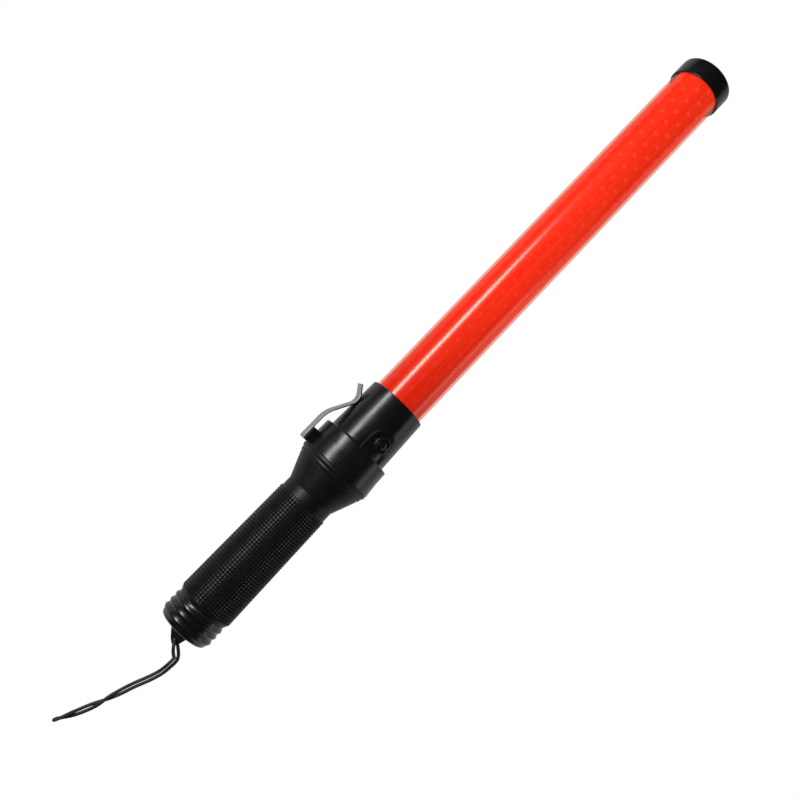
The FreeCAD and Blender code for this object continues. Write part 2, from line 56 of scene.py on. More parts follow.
MM = 0.001
LENGTH = 541.0
TUBE_LOW, TUBE_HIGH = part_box("light_tube")
BUTT_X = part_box("tip_cap")[1].x - LENGTH * MM
AXIS_Y = (TUBE_LOW.y + TUBE_HIGH.y) / 2
AXIS_Z = (TUBE_LOW.z + TUBE_HIGH.z) / 2

CLIP_TURN = math.radians(-74.0)
BUTTON_TURN = math.radians(29.0)
BUTTON_X = 178.0

DETAIL = 2


def at(x, y, z):
    """A point in the frame, from millimetres along and across the baton."""
    return Vector((BUTT_X + x * MM, AXIS_Y + y * MM, AXIS_Z + z * MM))


# Camera: looks down on the baton, a little towards the tip


CAMERA_X = 132.9
CAMERA_Y = 0.6
CAMERA_HEIGHT = 580.6
CAMERA_TILT = math.radians(7.66)
CAMERA_ROLL = math.radians(46.33)
CAMERA_LENS = 38.3


def make_camera():
    place = at(CAMERA_X, CAMERA_Y, CAMERA_HEIGHT)
    along = Vector((math.cos(CAMERA_TILT), 0, math.sin(CAMERA_TILT)))
    across = Vector((0, 1, 0))
    right = along * math.cos(CAMERA_ROLL) - across * math.sin(CAMERA_ROLL)
    up = along * math.sin(CAMERA_ROLL) + across * math.cos(CAMERA_ROLL)
    back = right.cross(up)
    camera = bpy.data.objects.new("camera", bpy.data.cameras.new("camera"))
    bpy.context.scene.collection.objects.link(camera)
    rotation = Matrix((right, up, back)).transposed().to_4x4()
    camera.matrix_world = Matrix.Translation(place) @ rotation
    camera.data.sensor_width = 36.0
    camera.data.lens = CAMERA_LENS
    camera.data.clip_start = 0.01
    camera.data.clip_end = 20.0
    bpy.context.scene.camera = camera


make_camera()


# Mesh helpers


def new_piece(name, mesh, material=None, smooth_angle=35.0):
    """Links a mesh as an object, smooth except at its sharp edges."""
    mesh.name = name
    mesh.shade_smooth()
    mesh.set_sharp_from_angle(angle=math.radians(smooth_angle))
    piece = bpy.data.objects.new(name, mesh)
    bpy.context.scene.collection.objects.link(piece)
    if material is not None:
        mesh.materials.clear()
        mesh.materials.append(material)
    return piece


def mesh_from_rings(rings, closed=True):
    """A mesh through rings of points; a ring of one point is a pole. closed joins last to first."""
    mesh = bpy.data.meshes.new("rings")
    bm = bmesh.new()
    made = [[bm.verts.new(point) for point in ring] for ring in rings]
    pairs = list(zip(made, made[1:]))
    if closed:
        pairs.append((made[-1], made[0]))
    for a, b in pairs:
        count = max(len(a), len(b))
        if count == 1:
            continue
        for i in range(count):
            j = (i + 1) % count
            corners = [a[i % len(a)], a[j % len(a)], b[j % len(b)], b[i % len(b)]]
            unique = list(dict.fromkeys(corners))
            bm.faces.new(unique)
    bmesh.ops.recalc_face_normals(bm, faces=bm.faces)
    bm.to_mesh(mesh)
    bm.free()
    return mesh


def mesh_with_ends(rings):
    """A mesh through rings of points with a flat face over the first ring and over the last."""
    mesh = mesh_from_rings(rings, closed=False)
    bm = bmesh.new()
    bm.from_mesh(mesh)
    bm.verts.ensure_lookup_table()
    count = len(rings[0])
    for start in (0, len(bm.verts) - count):
        bm.faces.new([bm.verts[i] for i in range(start, start + count)])
    bmesh.ops.recalc_face_normals(bm, faces=bm.faces)
    bm.to_mesh(mesh)
    bm.free()
    return mesh


def rounded(corners, steps=4):
    """An outline from corners (x, r, radius), each corner's arc drawn with that many steps."""
    points = []
    count = len(corners)
    for i, (x, r, radius) in enumerate(corners):
        here = Vector((x, r))
        if radius <= 0:
            points.append((x, r))
            continue
        before = Vector(corners[i - 1][:2]) - here
        after = Vector(corners[(i + 1) % count][:2]) - here
        half = before.angle(after) / 2
        reach = radius / math.tan(half)
        start = here + before.normalized() * reach
        end = here + after.normalized() * reach
        inward = (before.normalized() + after.normalized()).normalized()
        centre = here + inward * (radius / math.sin(half))
        sweep = math.pi - 2 * half
        turn = math.copysign(sweep, (start - centre).cross(end - centre))
        for step in range(steps + 1):
            spoke = start - centre
            spoke.rotate(Matrix.Rotation(turn * step / steps, 2))
            points.append(tuple(centre + spoke))
    return points


def around_axis(x, r, angle):
    """A point at a radius and an angle about the baton's axis; 0 is up, plus is away from the clip."""
    return at(x, -r * math.sin(angle), r * math.cos(angle))


def lathe_rings(outline, segments, shape=None):
    """Rings about the baton's axis along an outline of (x, r); shape(x, r, angle) changes a radius."""
    rings = []
    for x, r in outline:
        if r < 1e-6:
            rings.append([at(x, 0, 0)])
            continue
        ring = []
        for i in range(segments):
            angle = 2 * math.pi * i / segments
            ring.append(around_axis(x, shape(x, r, angle) if shape else r, angle))
        rings.append(ring)
    return rings


def lathe(name, outline, segments, material, shape=None):
    return new_piece(name, mesh_from_rings(lathe_rings(outline, segments, shape)), material)


def upright_lathe(name, outline, segments, material, turn, x):
    """A piece turned about a line that stands on the baton at x, from (r, height) points."""
    rings = []
    for r, height in outline:
        count = 1 if r < 1e-6 else segments
        ring = []
        for i in range(count):
            angle = 2 * math.pi * i / segments
            ring.append(stood(x + r * math.cos(angle), r * math.sin(angle), height, turn))
        rings.append(ring)
    return new_piece(name, mesh_from_rings(rings), material)


def stood(x, y, height, turn):
    """A point drawn straight above the axis, then turned about it."""
    side = y * math.cos(turn) - height * math.sin(turn)
    up = y * math.sin(turn) + height * math.cos(turn)
    return at(x, side, up)


def applied(piece):
    """Applies a piece's modifiers to its mesh."""
    graph = bpy.context.evaluated_depsgraph_get()
    mesh = bpy.data.meshes.new_from_object(piece.evaluated_get(graph), depsgraph=graph)
    piece.modifiers.clear()
    old = piece.data
    piece.data = mesh
    bpy.data.meshes.remove(old)
    mesh.name = piece.name
    return piece


def cut(piece, tool, operation="DIFFERENCE"):
    """Cuts a tool's shape out of a piece, or joins it on, and removes the tool."""
    modifier = piece.modifiers.new("cut", "BOOLEAN")
    modifier.operation = operation
    modifier.solver = "EXACT"
    modifier.object = tool
    bpy.context.view_layer.update()
    applied(piece)
    bpy.data.objects.remove(tool)
    piece.data.shade_smooth()
    piece.data.set_sharp_from_angle(angle=math.radians(35.0))
    return piece


def bevelled(piece, width, segments=3, angle=30.0):
    modifier = piece.modifiers.new("bevel", "BEVEL")
    modifier.width = width * MM
    modifier.segments = segments
    modifier.limit_method = "ANGLE"
    modifier.angle_limit = math.radians(angle)
    modifier.harden_normals = True
    bpy.context.view_layer.update()
    return applied(piece)


# Materials

# The liner's glow is painted light that stands in for light through the tube; it is dimmer at the tube's
# foot by the sleeve, and the liner's studs show less there
PAINTED_GLOW_START = 205.0
PAINTED_GLOW_CLIMB = 110.0
STUDS_FAINT = 330.0
STUDS_CLIMB = 130.0


class Nodes:
    """A material's node tree with short ways to add and join nodes."""

    def __init__(self, name):
        self.material = bpy.data.materials.new(name)
        self.material.use_nodes = True
        self.tree = self.material.node_tree
        self.shader = self.tree.nodes["Principled BSDF"]
        self.output = self.tree.nodes["Material Output"]
        self.place = self.add("ShaderNodeTexCoord").outputs["Object"]

    def add(self, kind, **values):
        node = self.tree.nodes.new(kind)
        for key, value in values.items():
            setattr(node, key, value)
        return node

    def link(self, source, target):
        self.tree.links.new(source, target)

    def set(self, **values):
        for key, value in values.items():
            self.shader.inputs[key.replace("_", " ")].default_value = value

    def noise(self, scale, detail=4.0, roughness=0.55, place=None):
        node = self.add("ShaderNodeTexNoise")
        node.inputs["Scale"].default_value = scale
        node.inputs["Detail"].default_value = detail
        node.inputs["Roughness"].default_value = roughness
        self.link(place or self.place, node.inputs["Vector"])
        return node.outputs["Fac"]

    def stretched(self, x, y, z):
        """The place, scaled by a different amount along each axis."""
        node = self.add("ShaderNodeMapping")
        node.inputs["Scale"].default_value = (x, y, z)
        self.link(self.place, node.inputs["Vector"])
        return node.outputs["Vector"]

    def ramp(self, source, *stops):
        """A colour ramp with stops of (position, colour)."""
        node = self.add("ShaderNodeValToRGB")
        elements = node.color_ramp.elements
        while len(elements) < len(stops):
            elements.new(0.5)
        for element, (position, colour) in zip(elements, stops):
            element.position = position
            element.color = (*colour, 1.0)
        self.link(source, node.inputs["Fac"])
        return node.outputs["Color"]

    def span(self, source, low, high, from_low=0.3, from_high=0.7):
        """A number from low to high as the source goes from one value to another."""
        node = self.add("ShaderNodeMapRange")
        node.inputs["From Min"].default_value = from_low
        node.inputs["From Max"].default_value = from_high
        node.inputs["To Min"].default_value = low
        node.inputs["To Max"].default_value = high
        self.link(source, node.inputs["Value"])
        return node.outputs["Result"]

    def maths(self, operation, a, b=None):
        node = self.add("ShaderNodeMath", operation=operation)
        for socket, value in zip(node.inputs, (a, b)):
            if value is None:
                continue
            if isinstance(value, (int, float)):
                socket.default_value = value
            else:
                self.link(value, socket)
        return node.outputs[0]

    def blend(self, share, a, b):
        """A colour between a and b."""
        node = self.add("ShaderNodeMix", data_type="RGBA")
        sockets = {socket.name: socket for socket in node.inputs if socket.enabled}
        for value, name in ((share, "Factor"), (a, "A"), (b, "B")):
            if isinstance(value, tuple):
                sockets[name].default_value = (*value, 1.0)
            else:
                self.link(value, sockets[name])
        return next(socket for socket in node.outputs if socket.enabled)

    def bump(self, height, distance, strength=1.0):
        node = self.add("ShaderNodeBump")
        node.inputs["Distance"].default_value = distance
        node.inputs["Strength"].default_value = strength
        self.link(height, node.inputs["Height"])
        self.link(node.outputs["Normal"], self.shader.inputs["Normal"])
        return node

    def axis_parts(self):
        """The place along the baton, and across it from its axis to the side and up."""
        split = self.add("ShaderNodeSeparateXYZ")
        self.link(self.place, split.inputs[0])
        side = self.maths("SUBTRACT", split.outputs["Y"], AXIS_Y)
        up = self.maths("SUBTRACT", split.outputs["Z"], AXIS_Z)
        return split.outputs["X"], side, up

    def painted_glow_along(self):
        """How brightly the liner's painted glow, a stand-in for light through the tube, shines along its
        length: dimmer at its foot in the sleeve.
        """
        foot = BUTT_X + PAINTED_GLOW_START * MM
        return self.span(self.axis_parts()[0], 0.58, 1.0, foot, foot + PAINTED_GLOW_CLIMB * MM)


def moulded(name, colour, roughness, grain=0.00002, grain_scale=2600.0, spread=0.06, **values):
    """Moulded plastic or rubber: a fine grain, cloudy gloss and faint handling marks."""
    m = Nodes(name)
    cloud = m.noise(90.0)
    marks = m.noise(260.0, 6.0, 0.7, m.stretched(0.35, 1.0, 1.0))
    darker = tuple(c * 0.75 for c in colour)
    lighter = tuple(c * 1.35 for c in colour)
    m.link(m.ramp(cloud, (0.3, darker), (0.5, colour), (0.72, lighter)), m.shader.inputs["Base Color"])
    gloss = m.span(marks, roughness - spread, roughness + spread)
    m.link(gloss, m.shader.inputs["Roughness"])
    m.bump(m.noise(grain_scale, 3.0, 0.6), grain)
    m.set(**values)
    return m.material


BLACK = (0.0055, 0.0052, 0.0055)
black_plastic = moulded("black_plastic", BLACK, 0.27, Specular_IOR_Level=0.35)
butt_plastic = moulded("butt_plastic", (0.006, 0.0055, 0.006), 0.25, grain=0.000006, spread=0.02,
                       Specular_IOR_Level=0.45)
grip_plastic = moulded("grip_plastic", (0.006, 0.0054, 0.006), 0.40, grain=0.00003,
                       Specular_IOR_Level=0.18)
block_plastic = moulded("block_plastic", (0.004, 0.003, 0.0026), 0.5, grain=0.00003,
                        Specular_IOR_Level=0.1)
switch_plastic = moulded("switch_plastic", (0.005, 0.005, 0.0053), 0.3, Specular_IOR_Level=0.35)
button_rubber = moulded("button_rubber", (0.0045, 0.0045, 0.005), 0.26, grain=0.00001,
                        Specular_IOR_Level=0.5)
seal_rubber = moulded("seal_rubber", (0.012, 0.012, 0.012), 0.6, grain=0.00003)
white_plastic = moulded("white_plastic", (0.80, 0.80, 0.77), 0.3)
wire_jacket = moulded("wire_jacket", (0.52, 0.03, 0.02), 0.35)
led_lens = moulded("led_lens", (0.80, 0.82, 0.85), 0.08, grain=0.0)


def brushed_metal(name, colour, roughness, direction, contrast=0.25):
    """Metal with fine lines along one direction."""
    m = Nodes(name)
    lines = m.noise(1.0, 5.0, 0.65, m.stretched(*direction))
    cloud = m.noise(140.0)
    dark = tuple(c * (1 - contrast) for c in colour)
    m.link(m.ramp(lines, (0.3, dark), (0.7, colour)), m.shader.inputs["Base Color"])
    m.link(m.span(cloud, roughness - 0.08, roughness + 0.08), m.shader.inputs["Roughness"])
    m.bump(lines, 0.00001)
    m.set(Metallic=1.0)
    return m.material


clip_steel = brushed_metal("clip_steel", (0.40, 0.365, 0.34), 0.38, (90.0, 3200.0, 3200.0))
screw_steel = brushed_metal("screw_steel", (0.50, 0.49, 0.48), 0.3, (2400.0, 2400.0, 2400.0))
brass = brushed_metal("brass", (0.75, 0.56, 0.25), 0.3, (100.0, 3000.0, 3000.0))


def battery_wrap():
    """A cell's printed can in two plain colours, with a steel top."""
    m = Nodes("battery_wrap")
    along = m.axis_parts()[0]
    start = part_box("battery_rear")[0].x
    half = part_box("battery_front")[0].x - start
    share = m.maths("FRACT", m.maths("DIVIDE", m.maths("SUBTRACT", along, start), half))
    wear = m.noise(300.0)
    shade = m.maths("ADD", share, m.maths("MULTIPLY", wear, 0.004))
    blue, copper, steel = (0.02, 0.05, 0.16), (0.42, 0.20, 0.07), (0.5, 0.5, 0.5)
    stops = [(0.0, steel), (0.03, blue), (0.66, copper), (0.955, steel)]
    colour = m.ramp(shade, *stops)
    colour.node.color_ramp.interpolation = "CONSTANT"
    m.link(colour, m.shader.inputs["Base Color"])
    m.link(m.span(wear, 0.18, 0.34), m.shader.inputs["Roughness"])
    m.set(Metallic=0.6)
    return m.material


def board_green():
    """A green circuit board with a pattern of copper tracks."""
    m = Nodes("board_green")
    tracks = m.add("ShaderNodeTexBrick")
    tracks.inputs["Scale"].default_value = 240.0
    tracks.inputs["Color1"].default_value = (0.02, 0.16, 0.06, 1)
    tracks.inputs["Color2"].default_value = (0.03, 0.20, 0.08, 1)
    tracks.inputs["Mortar"].default_value = (0.10, 0.32, 0.12, 1)
    m.link(m.place, tracks.inputs["Vector"])
    m.link(tracks.outputs["Color"], m.shader.inputs["Base Color"])
    m.link(m.span(m.noise(500.0), 0.25, 0.4), m.shader.inputs["Roughness"])
    m.bump(tracks.outputs["Fac"], 0.00003)
    return m.material


battery_can = battery_wrap()
circuit_board = board_green()


# How cloudy the tube's plastic is, from 0 to 1
TUBE_HAZE = 0.08


def red_tube():
    """Clear red plastic tube: tinted, a little cloudy, with soft warm reflections."""
    m = Nodes("red_tube")
    clear = m.add("ShaderNodeBsdfTransparent")
    clear.inputs["Color"].default_value = (1.0, 0.62, 0.56, 1)
    smears = m.noise(60.0, 5.0, 0.6, m.stretched(0.2, 1.0, 1.0))
    haze = m.add("ShaderNodeBsdfTranslucent")
    m.link(m.blend(smears, (0.80, 0.12, 0.09), (0.88, 0.17, 0.14)), haze.inputs["Color"])
    body = m.add("ShaderNodeMixShader")
    body.inputs["Fac"].default_value = TUBE_HAZE
    m.link(clear.outputs[0], body.inputs[1])
    m.link(haze.outputs[0], body.inputs[2])
    gloss = m.add("ShaderNodeBsdfGlossy")
    gloss.inputs["Color"].default_value = (1.0, 0.80, 0.66, 1)
    m.link(m.span(smears, 0.19, 0.22), gloss.inputs["Roughness"])
    fresnel = m.add("ShaderNodeFresnel")
    fresnel.inputs["IOR"].default_value = 1.5
    front = m.maths("SUBTRACT", 1.0, m.add("ShaderNodeNewGeometry").outputs["Backfacing"])
    mix = m.add("ShaderNodeMixShader")
    m.link(m.maths("MULTIPLY", fresnel.outputs[0], front), mix.inputs["Fac"])
    m.link(body.outputs[0], mix.inputs[1])
    m.link(gloss.outputs[0], mix.inputs[2])
    m.link(mix.outputs[0], m.output.inputs["Surface"])
    m.tree.nodes.remove(m.shader)
    return m.material


LINER_START = 197.0
LINER_END = 529.0
LINER_R = 17.8
LINER_THICK = 0.8
DOT_PITCH = 11.5
DOT_COLUMNS = 14
DOT_COLUMN_WIDTH = 2 * math.pi * LINER_R / DOT_COLUMNS


def liner_dots(m):
    """1 on the liner's round studs and 0 between them: rows along the tube, every other one shifted."""
    along, side, up = m.axis_parts()
    angle = m.maths("ARCTAN2", m.maths("MULTIPLY", side, -1.0), up)
    column = m.maths("MULTIPLY", angle, DOT_COLUMNS / (2 * math.pi))
    nearest = m.maths("ROUND", column)
    across = m.maths("MULTIPLY", m.maths("SUBTRACT", column, nearest), DOT_COLUMN_WIDTH)
    shifted = m.maths("MULTIPLY", m.maths("ABSOLUTE", m.maths("MODULO", nearest, 2.0)), 0.5)
    first = BUTT_X + LINER_START * MM
    rows = m.maths("DIVIDE", m.maths("SUBTRACT", along, first), DOT_PITCH * MM)
    row = m.maths("SUBTRACT", rows, shifted)
    ahead = m.maths("MULTIPLY", m.maths("SUBTRACT", row, m.maths("ROUND", row)), DOT_PITCH)
    squares = m.maths("ADD", m.maths("MULTIPLY", across, across), m.maths("MULTIPLY", ahead, ahead))
    return m.span(m.maths("SQRT", squares), 1.0, 0.0, 0.6, 2.2)


def liner_sheet():
    """Red translucent sheet inside the tube, with paler studs, fine lines along it and a painted glow
    that stands in for light through the tube.
    """
    m = Nodes("liner_sheet")
    streaks = m.noise(1.0, 4.0, 0.6, m.stretched(14.0, 900.0, 900.0))
    cloud = m.noise(40.0, 3.0)
    mixed = m.maths("ADD", m.maths("MULTIPLY", streaks, 0.5), m.maths("MULTIPLY", cloud, 0.5))
    red, orange, pale = (0.42, 0.030, 0.010), (0.46, 0.050, 0.016), (0.60, 0.30, 0.24)
    ground = m.ramp(mixed, (0.35, red), (0.65, orange))
    faint = BUTT_X + STUDS_FAINT * MM
    strength = m.span(m.axis_parts()[0], 0.16, 0.5, faint, faint + STUDS_CLIMB * MM)
    dots = m.maths("MULTIPLY", liner_dots(m), strength)
    colour = m.blend(dots, ground, pale)
    m.link(colour, m.shader.inputs["Base Color"])
    m.link(m.span(cloud, 0.5, 0.6), m.shader.inputs["Roughness"])
    m.bump(streaks, 0.00002)
    ribs = m.span(m.noise(1.0, 2.0, 0.5, m.stretched(9.0, 900.0, 900.0)), 0.0, 1.0, 0.35, 0.65)
    # Painted glow: emission that stands in for light through the tube, paler on the studs and dimmer at
    # the foot
    painted_glow_colour = m.blend(ribs, (0.82, 0.070, 0.018), (0.93, 0.150, 0.060))
    m.link(m.blend(dots, painted_glow_colour, (0.95, 0.26, 0.20)), m.shader.inputs["Emission Color"])
    m.link(m.painted_glow_along(), m.shader.inputs["Emission Strength"])
    glow = m.add("ShaderNodeBsdfTranslucent")
    m.link(colour, glow.inputs["Color"])
    mix = m.add("ShaderNodeMixShader")
    mix.inputs["Fac"].default_value = 0.3
    m.link(m.shader.outputs[0], mix.inputs[1])
    m.link(glow.outputs[0], mix.inputs[2])
    m.link(mix.outputs[0], m.output.inputs["Surface"])
    return m.material


tube_material = red_tube()
liner_material = liner_sheet()


def cord_weave():
    """Woven black cord with a purple-brown tint."""
    m = Nodes("cord_weave")
    fibres = m.noise(5000.0, 4.0, 0.7)
    cloud = m.noise(120.0)
    mixed = m.maths("ADD", m.maths("MULTIPLY", fibres, 0.6), m.maths("MULTIPLY", cloud, 0.4))
    dark, light = (0.004, 0.003, 0.004), (0.016, 0.010, 0.012)
    m.link(m.ramp(mixed, (0.35, dark), (0.7, light)), m.shader.inputs["Base Color"])
    m.link(m.span(cloud, 0.55, 0.75), m.shader.inputs["Roughness"])
    m.bump(fibres, 0.00004)
    m.set(Sheen_Weight=0.08, Sheen_Roughness=0.4)
    return m.material


cord_material = cord_weave()


# Lanyard: the cord's route, from just behind the butt, the axis and the table top, in metres

CORD_D = 0.0024
CORD_ROUTE = [
    (-0.0060, -0.0017, 0.0285), (-0.0060, -0.0017, 0.0324), (-0.0078, -0.0032, 0.0350),
    (-0.0110, -0.0058, 0.0342), (-0.0136, -0.0080, 0.0300), (-0.0156, -0.0090, 0.0240),
    (-0.0174, -0.0092, 0.0174), (-0.0212, -0.0095, 0.0100), (-0.0270, -0.0093, 0.0045),
    (-0.0335, -0.0086, 0.0017), (-0.0414, -0.0059, 0.0013), (-0.0522, -0.0009, 0.0013),
    (-0.0626, 0.0028, 0.0014), (-0.0686, 0.0048, 0.0041), (-0.0750, 0.0055, 0.0041),
    (-0.0807, 0.0070, 0.0016), (-0.0887, 0.0106, 0.0013), (-0.0936, 0.0134, 0.0013),
    (-0.0982, 0.0169, 0.0013), (-0.1022, 0.0202, 0.0014), (-0.1024, 0.0203, 0.0066),
    (-0.0970, 0.0176, 0.0063), (-0.0924, 0.0156, 0.0037), (-0.0874, 0.0130, 0.0015),
    (-0.0795, 0.0094, 0.0013), (-0.0714, 0.0045, 0.0013), (-0.0636, 0.0004, 0.0013),
    (-0.0532, -0.0033, 0.0013), (-0.0424, -0.0083, 0.0013), (-0.0341, -0.0111, 0.0014),
    (-0.0272, -0.0118, 0.0036), (-0.0216, -0.0121, 0.0084), (-0.0172, -0.0116, 0.0136),
    (-0.0134, -0.0094, 0.0178), (-0.0096, -0.0056, 0.0208), (-0.0060, -0.0017, 0.0240),
    (-0.0060, -0.0017, 0.0279),
]


def route_line():
    """Close points along the smooth spline whose control points are the route."""
    data = bpy.data.curves.new("route", "CURVE")
    data.dimensions = "3D"
    data.resolution_u = 12
    spline = data.splines.new("NURBS")
    spline.points.add(len(CORD_ROUTE) - 1)
    for point, (x, y, z) in zip(spline.points, CORD_ROUTE):
        point.co = (BUTT_X + x, AXIS_Y + y, z, 1.0)
    spline.order_u = 3
    spline.use_endpoint_u = True
    holder = bpy.data.objects.new("route", data)
    bpy.context.scene.collection.objects.link(holder)
    bpy.context.view_layer.update()
    graph = bpy.context.evaluated_depsgraph_get()
    mesh = bpy.data.meshes.new_from_object(holder.evaluated_get(graph), depsgraph=graph)
    line = [vertex.co.copy() for vertex in mesh.vertices]
    bpy.data.objects.remove(holder)
    bpy.data.curves.remove(data)
    bpy.data.meshes.remove(mesh)
    return line


BRAID_PITCH = 0.0046
BRAID_DEPTH = 0.00016
BRAID_STEP = 0.00024


def evenly(line, step):
    """Points a fixed step apart along a line of close points."""
    points = [line[0].copy()]
    left = step
    for a, b in zip(line, line[1:]):
        run = (b - a).length
        done = 0.0
        while run - done >= left:
            done += left
            points.append(a.lerp(b, done / run))
            left = step
        left -= run - done
    points.append(line[-1].copy())
    return points


def braid_height(along, angle):
    """The relief of a round braid of eight strands, four each way, from 0 to 1."""
    turns = 4 * angle / (2 * math.pi)
    a = turns + 4 * along / BRAID_PITCH
    b = turns - 4 * along / BRAID_PITCH
    over = (math.floor(a) + math.floor(b)) % 2 == 0
    strand = a if over else b
    return math.sin(math.pi * (strand - math.floor(strand)))


def braided_cord(line):
    """A tube along the line with the relief of a braid."""
    step = BRAID_STEP * (3 - DETAIL)
    segments = 16 * DETAIL
    points = evenly(line, step)
    rings = []
    side = Vector((0, 1, 0))
    for i, point in enumerate(points):
        ahead = (points[min(i + 1, len(points) - 1)] - points[max(i - 1, 0)]).normalized()
        side = (side - ahead * side.dot(ahead)).normalized()
        other = ahead.cross(side)
        ring = []
        for k in range(segments):
            angle = 2 * math.pi * k / segments
            radius = CORD_D / 2 - BRAID_DEPTH * (1 - braid_height(i * step, angle))
            ring.append(point + (side * math.cos(angle) + other * math.sin(angle)) * radius)
        rings.append(ring)
    rings = [[points[0]]] + rings + [[points[-1]]]
    return new_piece("lanyard", mesh_from_rings(rings, closed=False), cord_material, 180.0)


cord_line = route_line()
lanyard = braided_cord(cord_line)
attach(lanyard, "butt")
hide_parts("lanyard_cord")


# Butt cap

BUTT_FACE = 1.5
CAP_FLOOR = 4.0
CAP_CAVITY_R = 17.0
RING_CREST_R = 20.0
RING_GROOVE_R = 18.75
RING_PITCH = 4.9
RING_COUNT = 3
BUTT_RIM = 20.6
RING_LAND = 1.05
RING_START = BUTT_RIM - RING_LAND - RING_COUNT * RING_PITCH
THREAD_R = 18.3
THREAD_PITCH = 3.0
THREAD_DEPTH = 0.9
THREAD_START = 22.6
THREAD_END = 34.0
THREAD_FADE = 0.6
THREAD_FLANK = 1.6
SPIGOT_END = 35.0
LUG_THICK = 5.4
LUG_HOLE_R = 1.5
LUG_HOLE = (-6.0, -1.7)


def threaded(x, r, angle):
    """Cuts a right-hand helical groove into the spigot."""
    if not THREAD_START < x < THREAD_END or r < THREAD_R - 0.01:
        return r
    wave = abs(2 * ((x / THREAD_PITCH + angle / (2 * math.pi)) % 1.0) - 1)
    fade = min(1.0, (x - THREAD_START) / THREAD_FADE, (THREAD_END - x) / THREAD_FADE)
    return r - THREAD_DEPTH * fade * min(1.0, THREAD_FLANK * wave)


def butt_outline():
    """Outline of the cap: rounded end, three pointed rings, threaded spigot and cavity."""
    end = [(BUTT_FACE, 14.6, 0), (BUTT_FACE + 0.8, 17.9, 2.2), (RING_START, RING_GROOVE_R, 0)]
    outline = rounded(end, 6)
    steps = 12
    for number in range(RING_COUNT):
        for step in range(1, steps + 1):
            share = step / steps
            height = 1 - abs(2 * share - 1) ** 1.25
            x = RING_START + (number + share) * RING_PITCH
            outline.append((x, RING_GROOVE_R + (RING_CREST_R - RING_GROOVE_R) * height))
    land = [(BUTT_RIM - 0.5, RING_GROOVE_R, 0), (BUTT_RIM, RING_GROOVE_R, 0.2), (BUTT_RIM, THREAD_R, 0)]
    outline += rounded(land)
    x = THREAD_START - 1.0
    while x < THREAD_END + 0.2:
        outline.append((x, THREAD_R))
        x += THREAD_PITCH / 12
    outline += [(SPIGOT_END, 17.7), (SPIGOT_END, CAP_CAVITY_R), (CAP_FLOOR, CAP_CAVITY_R)]
    outline += [(CAP_FLOOR, 0.0), (BUTT_FACE, 0.0), (BUTT_FACE, 12.5)]
    return outline


def prism(name, outline, low, high):
    """An upright prism over an outline of (x, y) points."""
    return new_piece(name, mesh_with_ends([[at(x, y, z) for x, y in outline] for z in (low, high)]))


def circle(x, y, r, count=32):
    turns = [2 * math.pi * i / count for i in range(count)]
    return [(x + r * math.cos(turn), y + r * math.sin(turn)) for turn in turns]


def lug():
    """The tapered tab for the lanyard, with an upright hole."""
    corners = [(2.4, 9.6, 0), (-6.4, 1.9, 1.5), (-9.0, -1.4, 1.6), (-7.2, -4.6, 1.2), (2.4, -7.6, 0)]
    tab = prism("lug", rounded(corners, 6), -LUG_THICK / 2, LUG_THICK / 2)
    tab = cut(tab, prism("hole", circle(*LUG_HOLE, LUG_HOLE_R), -LUG_THICK, LUG_THICK))
    return bevelled(tab, 0.5, 3, 50.0)


butt = lathe("butt_cap_shell", butt_outline(), 64 * DETAIL, butt_plastic, threaded)
butt_lug = lug()
butt_lug.data.materials.append(butt_plastic)
for piece in (butt, butt_lug):
    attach(piece, "butt")
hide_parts("butt_cap")


# Handle

HANDLE_START = 21.1
KNURL_START = 24.8
KNURL_END = 114.2
KNURL_ROWS = 41
KNURL_COLUMNS = 58
KNURL_DEPTH = 0.5
GROOVE_SHARE = 0.2
PAD_EDGES = (0.0, GROOVE_SHARE, 1.0 - GROOVE_SHARE)
GRIP_BACK_R = 20.6
GRIP_FRONT_R = 19.4
NECK_R = 18.6
CONE_START = 122.0
CONE_R = 25.6
SHOULDER_X = 146.1
SHOULDER_R = 27.8
SPIGOT_R = 21.0
SPIGOT_X = 156.8
FRONT_BORE_R = 18.4
BORE_R = 17.4
BORE_START = 36.5
BORE_END = 136.9
THREAD_BORE_R = 18.38
RIDGE_START = 139.6
RIDGE_PITCH = 3.1
RIDGE_BACK_R = 25.4
RIDGE_CLIMB = 1.2
RIDGE_HEIGHT = 0.55


def knurled_rings():
    """Rings of square pads with grooves between them, three rings and three columns to a pad."""
    rings = []
    pitch = (KNURL_END - KNURL_START) / KNURL_ROWS
    for row in range(KNURL_ROWS):
        for share in PAD_EDGES:
            x = KNURL_START + (row + share) * pitch
            forward = (x - KNURL_START) / (KNURL_END - KNURL_START)
            crest = GRIP_BACK_R + (GRIP_FRONT_R - GRIP_BACK_R) * forward
            ring = []
            for column in range(KNURL_COLUMNS):
                for part in PAD_EDGES:
                    low = share == 0.0 or part == 0.0
                    angle = 2 * math.pi * (column + part) / KNURL_COLUMNS
                    ring.append(around_axis(x, crest - (KNURL_DEPTH if low else 0.0), angle))
            rings.append(ring)
    return rings


def plain_rings(outline):
    """Plain rings with the knurled rings' columns."""
    rings = []
    for x, r in outline:
        ring = []
        for column in range(KNURL_COLUMNS):
            for part in PAD_EDGES:
                ring.append(around_axis(x, r, 2 * math.pi * (column + part) / KNURL_COLUMNS))
        rings.append(ring)
    return rings


def ridges(count=2, steps=8):
    """Points over the low ridges, each further out than the one behind it."""
    points = []
    for i in range(count * steps + 1):
        along = i / steps
        bulge = RIDGE_HEIGHT * abs(math.sin(math.pi * along))
        points.append((RIDGE_START + along * RIDGE_PITCH, RIDGE_BACK_R + along * RIDGE_CLIMB + bulge))
    return points


